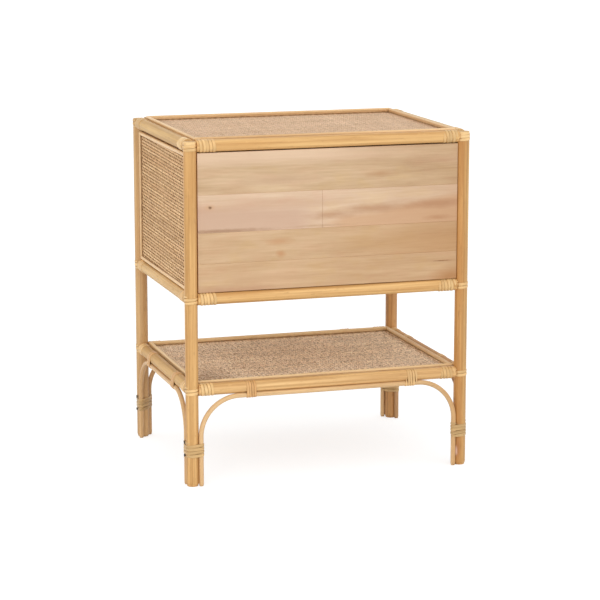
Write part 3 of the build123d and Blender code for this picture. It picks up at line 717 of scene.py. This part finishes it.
def woven_mat(node, weft_axis, warp_axis, out, body, weave, rng, skew=0.0):
    """Real strands in the space of a CAD mat: weft along one axis, warp along the other."""
    low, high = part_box(node)
    out_axis = 3 - weft_axis - warp_axis
    thickness = high[out_axis] - low[out_axis]
    start = np.array(low)
    start[out_axis] = (high if out > 0 else low)[out_axis] - out * thickness / 2
    unit = np.identity(3)
    # the order of the directions keeps each strand's section turning the same way
    for part, first, second, half_width, half_thickness, rise, phase in (
            ("weft", weft_axis, warp_axis, weft_half_width, weft_half_thickness, weft_rise, 0),
            ("warp", warp_axis, weft_axis, warp_half_width, warp_half_thickness, warp_rise, 1)):
        strips = Strips()
        beside, origin = unit[second], start.copy()
        if np.dot(np.cross(beside, unit[out_axis] * out), unit[first]) < 0:
            beside = -beside
            origin[second] = high[second]
        strand_set(strips, origin, unit[first], beside, unit[out_axis] * out,
                   high[first] - low[first], high[second] - low[second],
                   half_width, half_thickness, rise, phase, skew if part == "weft" else 0.0, rng)
        strips.build(f"{node}_{part}", weave[part], body, "woven_mat", node)


brown_corner_x, brown_corner_y = (0.250, 0.085), (0.175, 0.150)     # centre and reach


def brown_corner(graph, colour):
    """Brown dashes over the shelf's mat, strongest in one corner and fading out from it."""
    place = graph.place()
    parts = graph.parts(place)
    away = graph.oval((parts[0], *brown_corner_x), (parts[1], *brown_corner_y))
    gaps = graph.ranged(graph.noise(graph.scaled(place, (210, 150, 150)), 1, 2, 0.6), 0.40, 0.60, 0.25, 1.0)
    strength = graph.math("MULTIPLY", graph.ranged(away, 0.2, 1.0, 0.8, 0.0), gaps)
    return graph.mix(strength, colour, srgb(140, 98, 66))


def weave_skins(name, weft_light, weft_dark, warm, warp_light, warp_dark, flecks, seam, gloss,
                marks=None):
    """The finishes of a mat's two sets of strands."""
    skins = {}
    for part, light, dark in (("weft", weft_light, weft_dark), ("warp", warp_light, warp_dark)):
        skins[part] = rattan(f"{name}_{part}", grain_of_piece, light, dark, warm, 1.0, 0.6,
                             strips=True, gloss=gloss, flecks=flecks, seam=seam, marks=marks)
    return skins


top_weave = weave_skins("top", srgb(239, 210, 179), srgb(217, 183, 150), srgb(223, 185, 156),
                        srgb(231, 197, 160), srgb(203, 165, 128), 0.13, 0.42, 0.10)
# the shelf's strands are paler than the top's: painted light that makes up for the shade under the cabinet
shelf_weave = weave_skins("shelf", srgb(255, 236, 208), srgb(246, 216, 182), srgb(250, 218, 188),
                          srgb(254, 228, 196), srgb(236, 202, 164), 0.32, 0.34, 0.15, brown_corner)
side_weave = weave_skins("side", srgb(242, 207, 161), srgb(212, 171, 125), srgb(218, 175, 136),
                         srgb(228, 187, 141), srgb(192, 149, 103), 0.18, 0.75, 0.04)
mat_rng = random.Random(23)
woven_mat("top_mat", 0, 1, 1, "carcass", top_weave, mat_rng)
woven_mat("shelf_mat", 0, 1, 1, "carcass", shelf_weave, mat_rng)
for side, x_sign in sides.items():
    woven_mat(f"side_mat_{side}", 1, 2, x_sign, "carcass", side_weave, mat_rng, side_mat_skew)
for drawer in ("upper", "lower"):
    woven_mat(f"{drawer}_front_mat", 0, 2, -1, f"{drawer}_drawer", side_weave, mat_rng)


# ---------------------------------------------------------------- finishes of the CAD nodes
def blot(graph, colour, spot, size, stain, strength):
    """A soft oval mark with a ragged rim; spot and size are (X, height)."""
    x, z = grain_place(graph)
    away = graph.oval((x, spot[0], size[0]), (z, spot[1], size[1]))
    ragged = graph.noise(graph.scaled(graph.place(), (0.35, 1, 1)), 0.9 / size[1], 2, 0.6)
    away = graph.math("ADD", away, graph.math("MULTIPLY", graph.math("SUBTRACT", ragged, 0.5), 0.8))
    return graph.mix(graph.ranged(away, 0.2, 1.05, strength, 0.0), colour, stain)


tip_starts = (post_top - 0.0080, post_top - 0.0066)


def pale_tip(graph, colour):
    """The end of a post that stands above its wrap is as pale as the peel."""
    height = grain_place(graph)[1]
    return graph.mix(graph.ranged(height, *tip_starts, 0.0, 0.8), colour, peel_light)


def chipped_foot(graph, colour):
    """The pale end of one post, and the peel torn off low on its inner side."""
    colour = pale_tip(graph, colour)
    colour = blot(graph, colour, (-post_x + 0.0065, 0.038), (0.0045, 0.026), srgb(172, 112, 66), 0.8)
    return blot(graph, colour, (-post_x + 0.0100, 0.031), (0.0034, 0.013), srgb(240, 210, 196), 0.9)


def finish_node(node, material):
    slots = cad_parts[node].data.materials
    slots.clear()
    slots.append(material)


cut_end = srgb(226, 186, 134)
pale_pole = (srgb(234, 190, 126), srgb(196, 146, 86), srgb(212, 160, 96))
plain_pole = (srgb(236, 194, 134), srgb(196, 150, 94), srgb(210, 160, 100))
olive_pole = (srgb(228, 196, 144), srgb(188, 152, 104), srgb(196, 158, 106))
orange_pole = (srgb(220, 170, 108), srgb(176, 126, 72), srgb(192, 138, 80))
near_post = (srgb(226, 179, 115), srgb(184, 135, 76), srgb(202, 150, 87))
side_rail = (srgb(220, 181, 120), srgb(184, 143, 88), srgb(196, 151, 92))
side_rail_pale = (srgb(230, 192, 134), srgb(192, 152, 98), srgb(204, 160, 102))
far_rail = (srgb(212, 176, 124), srgb(172, 134, 86), srgb(182, 140, 90))
tan_post = (srgb(219, 179, 125), srgb(184, 142, 92), srgb(196, 150, 98))
brown_pole = (srgb(212, 160, 100), srgb(166, 118, 68), srgb(182, 130, 76))
pole_tints = {
    "post_rear_right": near_post, "post_rear_left": orange_pole,
    "post_front_right": tan_post, "post_front_left": brown_pole,
    "top_rail_rear": pale_pole, "top_rail_front": far_rail,
    "top_rail_right": side_rail, "top_rail_left": olive_pole,
    "middle_rail_rear": pale_pole, "middle_rail_front": plain_pole,
    "middle_rail_right": side_rail_pale, "middle_rail_left": orange_pole,
    "shelf_rail_rear": plain_pole, "shelf_rail_front": plain_pole,
    "shelf_rail_right": side_rail, "shelf_rail_left": orange_pole,
}
post_marks = {"post_rear_left": chipped_foot, "post_rear_right": pale_tip}
post_flanks = {"post_rear_left": (-post_x, (1.0, 1.10, 1.14, 1), (0.93, 0.86, 0.72, 1))}
for node, tints in pole_tints.items():
    axis = "z" if node.startswith("post") else "x" if node.endswith(("rear", "front")) else "y"
    finish_node(node, rattan(node + "_skin", grain_along(axis), *tints, 1.0, 0.42,
                             end_grain=cut_end if axis == "z" else None,
                             gloss=0.15 if axis == "y" else 0.4, flanks=post_flanks.get(node),
                             marks=post_marks.get(node)))

plain_bead = (srgb(244, 208, 160), srgb(222, 182, 132), srgb(226, 184, 132))
bead_tints = {
    "top_beading": (srgb(238, 202, 154), srgb(212, 172, 122), srgb(216, 174, 122)),
    "shelf_beading": (srgb(243, 213, 165), srgb(222, 188, 138), srgb(228, 190, 138)),
}
# the bead along the +X edge of the top is paler: painted light from above on that edge
bead_flanks = {"top_beading": (post_x - 0.022, (1.0, 1.0, 1.0, 1), (1.12, 1.18, 1.24, 1))}
for frame_part, first, second in (
        ("top", 0, 1), ("shelf", 0, 1), ("side_left", 1, 2), ("side_right", 1, 2),
        ("upper_front", 0, 2), ("lower_front", 0, 2)):
    side_name = frame_part.removeprefix("side_")
    on_side = frame_part != side_name
    node = f"side_beading_{side_name}" if on_side else f"{frame_part}_beading"
    mat = f"side_mat_{side_name}" if on_side else f"{frame_part}_mat"
    finish_node(node, rattan(f"bead_{node}", grain_round_frame(node, first, second),
                             *bead_tints.get(node, plain_bead), 1.0, 0.42,
                             shaded=inner_faces(node, first, second, mat),
                             flanks=bead_flanks.get(node)))


def blots(graph, colour, *marks):
    for spot, size, stain, strength in marks:
        colour = blot(graph, colour, spot, size, stain, strength)
    return colour


def first_plank_marks(graph, colour, bend):
    """A paler upper edge and two brown clouds."""
    x, z = grain_place(graph)
    upper = graph.math("MULTIPLY", graph.ranged(z, 0.638, 0.656, 0.0, 0.6), graph.ranged(x, -0.22, 0.0))
    colour = graph.mix(upper, colour, srgb(228, 198, 170))
    return blots(graph, colour,
                 ((0.107, 0.612), (0.120, 0.012), srgb(192, 158, 128), 0.6),
                 ((-0.108, 0.616), (0.040, 0.008), srgb(188, 146, 106), 0.6))


knot_place = (0.2471, 0.5625)
heartwood = srgb(206, 165, 129)
heart_at_end = 0.566            # upper edge of the heartwood at the plank's end
heart_at_middle = 0.520


def second_plank_marks(graph, colour, bend):
    """Heartwood that widens from the middle of the plank to its end, and one dark knot."""
    x, z = grain_place(graph)
    top_of_heart = graph.ranged(x, -0.27, 0.03, heart_at_end, heart_at_middle)
    rough_top = graph.math("ADD", top_of_heart,
                           graph.math("MULTIPLY", graph.math("SUBTRACT", bend, 0.5), 0.05))
    below = graph.ranged(graph.math("SUBTRACT", rough_top, z), -0.004, 0.010)
    started = graph.ranged(x, 0.035, -0.03)
    colour = graph.mix(graph.math("MULTIPLY", graph.math("MULTIPLY", below, started), 0.8),
                       colour, heartwood)
    colour = blots(graph, colour,
                   ((-0.095, 0.547), (0.095, 0.011), srgb(180, 134, 98), 0.62),
                   ((-0.004, 0.537), (0.062, 0.010), srgb(178, 132, 98), 0.6),
                   ((-0.230, 0.550), (0.075, 0.012), srgb(180, 134, 100), 0.6),
                   ((-0.232, 0.522), (0.040, 0.006), srgb(186, 140, 104), 0.6))
    pinker = graph.ranged(z, 0.566, 0.548, 0.0, 0.8)
    colour = graph.mix(graph.math("MULTIPLY", pinker, graph.ranged(x, 0.0, 0.07)), colour,
                       srgb(200, 166, 142))
    return blots(graph, colour,
                 ((0.225, 0.5150), (0.120, 0.0048), srgb(160, 124, 94), 0.75),
                 ((0.020, 0.5165), (0.080, 0.0034), srgb(180, 144, 114), 0.5),
                 (knot_place, (0.013, 0.007), srgb(204, 164, 128), 0.7),
                 (knot_place, (0.0046, 0.0034), srgb(104, 72, 46), 0.95))


def third_plank_marks(graph, colour, bend):
    """A browner end and two small brown marks."""
    return blots(graph, colour,
                 ((-0.230, 0.470), (0.240, 0.060), srgb(192, 146, 98), 0.5),
                 ((0.105, 0.4890), (0.034, 0.008), srgb(196, 150, 110), 0.7),
                 ((0.102, 0.4640), (0.012, 0.009), srgb(192, 144, 102), 0.8))


def fourth_plank_marks(graph, colour, bend):
    """Brown along its lower edge and at one end, and one short dark line."""
    return blots(graph, colour,
                 ((0.140, 0.417), (0.130, 0.013), srgb(194, 156, 120), 0.55),
                 ((0.210, 0.393), (0.150, 0.015), srgb(188, 146, 114), 0.75),
                 ((-0.262, 0.398), (0.055, 0.026), srgb(186, 138, 92), 0.85),
                 ((-0.240, 0.4318), (0.024, 0.0016), srgb(140, 98, 62), 0.8))


# the planks' ends: partly their darker end grain, partly painted shade of the narrow gap beside the posts
plank_end_shade = srgb(190, 104, 40)
# painted shade of the light falling off towards -X across the back planks
plank_falloff_shade = (0.86, 0.80, 0.74, 1)
plank_looks = (
    (srgb(213, 184, 149), srgb(191, 159, 124), srgb(200, 164, 136), (0.3, 0, 0.11), first_plank_marks),
    (srgb(225, 198, 169), srgb(209, 178, 149), srgb(196, 158, 130), (1.9, 0, 0.47), second_plank_marks),
    (srgb(210, 178, 142), srgb(192, 157, 119), srgb(182, 140, 104), (3.1, 0, 0.83), third_plank_marks),
    (srgb(213, 181, 144), srgb(197, 161, 123), srgb(192, 152, 122), (4.4, 0, 0.29), fourth_plank_marks),
)
for number, (pale, deep, streak, place, marks) in enumerate(plank_looks, start=1):
    finish_node(f"back_plank_{number}", planed_wood(f"plank_{number}", pale, deep, streak, place,
                                                    marks=marks, cut=plank_end_shade, falloff_shade=plank_falloff_shade))

board = planed_wood("board", srgb(222, 194, 154), srgb(200, 168, 126), srgb(184, 150, 108), (2, 1, 0))
# painted shade: the boards behind the mats are darker than the other boards, so the mats' gaps show shade
under_mat_shaded = planed_wood("under_mat_shaded", srgb(150, 104, 58), srgb(124, 84, 44), srgb(112, 74, 40), (5, 1, 0),
                        gloss=0.1)
under_shelf = planed_wood("under_shelf", srgb(206, 166, 124), srgb(184, 144, 102), srgb(170, 130, 90),
                          (5, 1, 0), gloss=0.1)
steel = (srgb(190, 190, 186), 0.35, 1.0)
for node in ("top_board", "side_board_left", "side_board_right", "upper_front_board", "lower_front_board"):
    finish_node(node, under_mat_shaded)
finish_node("shelf_board", under_shelf)
for node in ("corner_battens", "cabinet_floor", "drawer_runners"):
    finish_node(node, board)
for drawer in ("upper", "lower"):
    for part in ("box_sides", "box_bottom", "box_back"):
        finish_node(f"{drawer}_{part}", board)
    finish_node(f"{drawer}_knob", planed_wood(f"knob_{drawer}", srgb(222, 176, 118), srgb(196, 148, 92),
                                              srgb(180, 130, 80), (1, 2, 3), axis="y"))
    finish_node(f"{drawer}_knob_screw", worn_metal(f"screw_{drawer}", *steel))
finish_node("rail_screws", worn_metal("rail_screw_steel", *steel))
finish_node("foot_nails", worn_metal("nail_black", srgb(66, 54, 44), 0.5, 0.0))

# ---------------------------------------------------------------- floor and backdrop
floor_reach = 30.0
floor_glow = 0.70               # what the camera sees of the floor is lifted to white
floor_seen = (0.46, 0.47, 0.48, 1)
floor_plain = (0.80, 0.80, 0.80, 1)
floor_mesh = bpy.data.meshes.new("floor")
floor_corners = ((-1, -1), (1, -1), (1, 1), (-1, 1))
floor_mesh.from_pydata([(floor_reach * x, floor_reach * y, 0) for x, y in floor_corners],
                       [], [(0, 1, 2, 3)])
floor = bpy.data.objects.new("floor", floor_mesh)
bpy.context.collection.objects.link(floor)
floor_graph = Graph("floor")
plain = floor_graph.node("ShaderNodeBsdfDiffuse", {"Color": floor_plain}).outputs[0]
bright = floor_graph.node("ShaderNodeBsdfDiffuse", {"Color": floor_seen}).outputs[0]
glow = floor_graph.node("ShaderNodeEmission", {"Color": (1, 1, 1, 1), "Strength": floor_glow}).outputs[0]
lit = floor_graph.node("ShaderNodeAddShader", {0: bright, 1: glow}).outputs[0]
shown = floor_graph.node("ShaderNodeMixShader", {0: floor_graph.seen(), 1: plain, 2: lit}).outputs[0]
floor_graph.node("ShaderNodeOutputMaterial", {"Surface": shown})
floor_mesh.materials.append(floor_graph.owner)

world = bpy.data.worlds.new("studio")
bpy.context.scene.world = world
sky = Graph("studio", world)
seen = sky.seen()
direction = sky.node("ShaderNodeTexCoord").outputs["Generated"]
height = sky.parts(direction)[2]
tent = sky.ranged(height, walls_end, ceiling_start, walls_light, ceiling_light)
facing = sky.node("ShaderNodeVectorMath", {0: direction, 1: front_direction},
                  operation="DOT_PRODUCT").outputs["Value"]
tent = sky.math("MULTIPLY", tent, sky.ranged(facing, -1, 1, 1 - front_share, 1 + front_share))
strength = sky.math("ADD", sky.math("MULTIPLY", tent, sky.math("SUBTRACT", 1.0, seen)), seen)
sky.node("ShaderNodeOutputWorld", {"Surface": sky.node("ShaderNodeBackground", {
    "Color": (1, 1, 1, 1), "Strength": strength}).outputs[0]})

bpy.context.scene.view_settings.view_transform = "Standard"
